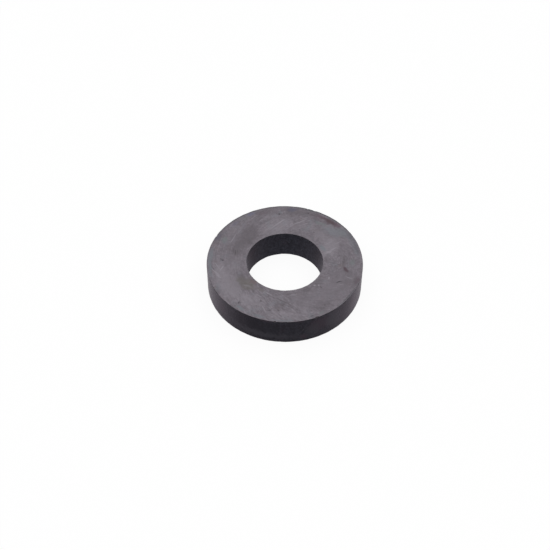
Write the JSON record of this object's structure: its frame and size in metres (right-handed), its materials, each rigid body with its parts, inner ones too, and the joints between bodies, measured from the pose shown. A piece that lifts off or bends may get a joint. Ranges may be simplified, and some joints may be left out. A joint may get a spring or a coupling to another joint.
{
  "type": "ferrite ring",
  "caption": "Flat sintered ferrite ring with a plain through bore, ground flat pole faces and unground outer and bore walls.",
  "frame": {"origin": "centre of the ring at its lower face", "axes": "+Z along the ring's axis, from the lower face to the upper face"},
  "size_m": [0.045, 0.045, 0.009],
  "materials": {
    "ferrite": "matte grey ground pole faces, darker charcoal as-fired outer wall and bore"
  },
  "bodies": {
    "root": {"ferrite_ring": "ferrite"}
  },
  "joints": []
}
